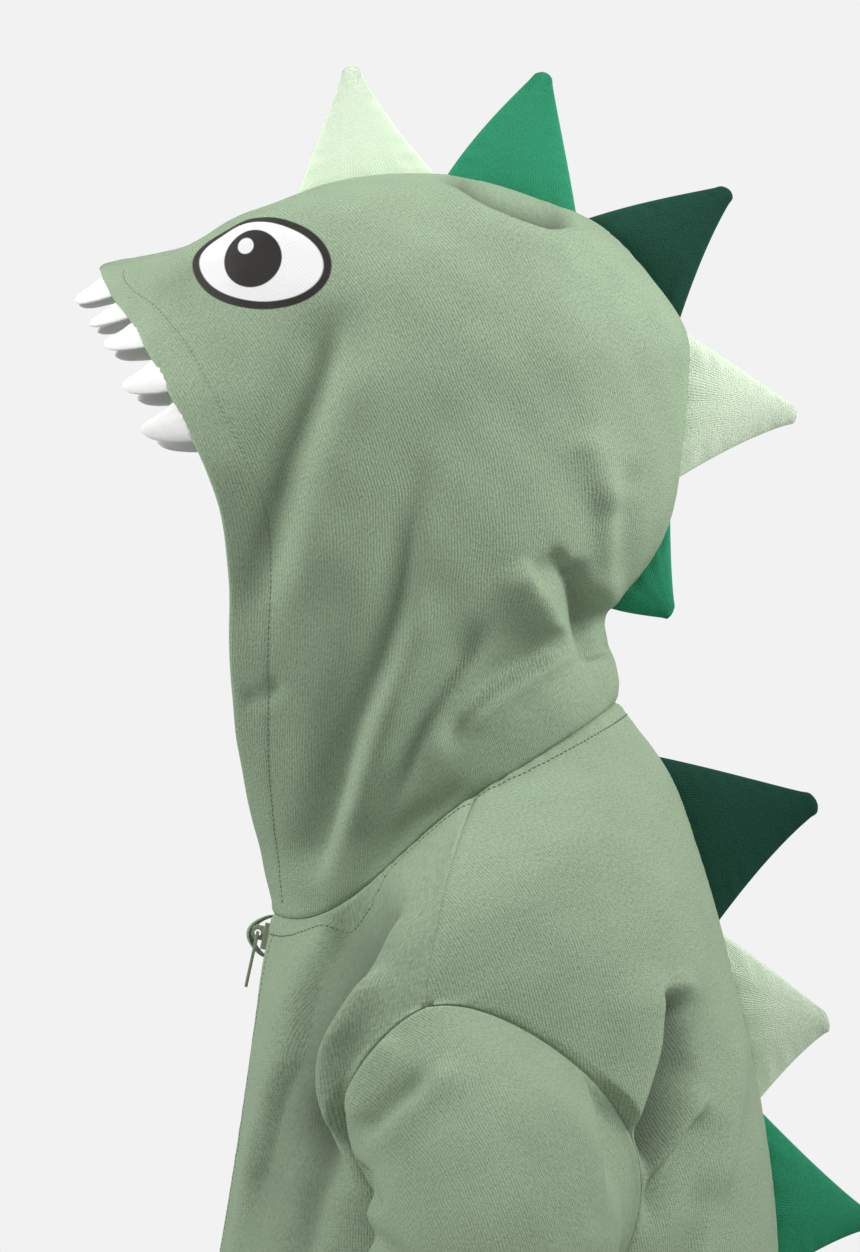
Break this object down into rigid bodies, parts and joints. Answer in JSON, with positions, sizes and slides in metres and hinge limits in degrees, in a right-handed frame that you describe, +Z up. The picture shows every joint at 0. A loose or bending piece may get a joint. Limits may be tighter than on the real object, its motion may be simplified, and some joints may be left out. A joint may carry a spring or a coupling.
{
  "type": "zip up hoodie",
  "caption": "Hollow, worn child's zip-up hoodie in sweatshirt knit, with a slouched peaked hood, padded spikes along the centre back, cloth teeth at the face opening, ribbed cuffs and hem.",
  "frame": {"origin": "middle of the neck opening, level with the upper ends of the shoulder seams, where the wearer's neck and shoulders hold the garment up", "axes": "+Z up, -Y the wearer's front, +X the wearer's left"},
  "size_m": [0.4361, 0.3535, 0.7926],
  "materials": {
    "sweatshirt_knit": "brushed sage green sweatshirt knit",
    "rib_knit": "sage green rib knit",
    "pale_cloth": "pale green sweatshirt knit",
    "bright_cloth": "bright green sweatshirt knit",
    "deep_cloth": "deep green sweatshirt knit",
    "white_cloth": "white brushed fleece",
    "zip_tape": "woven sage green zip tape",
    "zip_coil": "sage green nylon coil",
    "zip_metal": "satin green enamel"
  },
  "bodies": {
    "garment": {"hood_left": "sweatshirt_knit", "hood_right": "sweatshirt_knit", "front_left": "sweatshirt_knit", "front_right": "sweatshirt_knit", "back_left": "sweatshirt_knit", "back_right": "sweatshirt_knit", "sleeve_left": "sweatshirt_knit", "sleeve_right": "sweatshirt_knit", "cuff_left": "rib_knit", "cuff_right": "rib_knit", "hem_band": "rib_knit", "zip_tape_left": "zip_tape", "zip_tape_right": "zip_tape", "zip_chain": "zip_coil", "zip_box": "zip_metal", "zip_slider": "zip_metal", "zip_guard": "sweatshirt_knit", "spike_01": "pale_cloth", "spike_02": "bright_cloth", "spike_03": "deep_cloth", "spike_04": "pale_cloth", "spike_05": "bright_cloth", "spike_06": "deep_cloth", "spike_07": "pale_cloth", "spike_08": "bright_cloth", "spike_09": "deep_cloth", "spike_10": "pale_cloth", "spike_11": "bright_cloth", "tooth_left_1": "white_cloth", "tooth_left_2": "white_cloth", "tooth_left_3": "white_cloth", "tooth_left_4": "white_cloth", "tooth_left_5": "white_cloth", "tooth_right_1": "white_cloth", "tooth_right_2": "white_cloth", "tooth_right_3": "white_cloth", "tooth_right_4": "white_cloth", "tooth_right_5": "white_cloth"},
    "pull": {"zip_pull": "zip_metal"}
  },
  "joints": [
    {"name": "pull_hinge", "type": "hinge", "parent": "garment", "child": "pull", "pos_m": [0, -0.08698, -0.05704], "axis": [-1, 0, 0], "range_deg": [0, 160]}
  ]
}
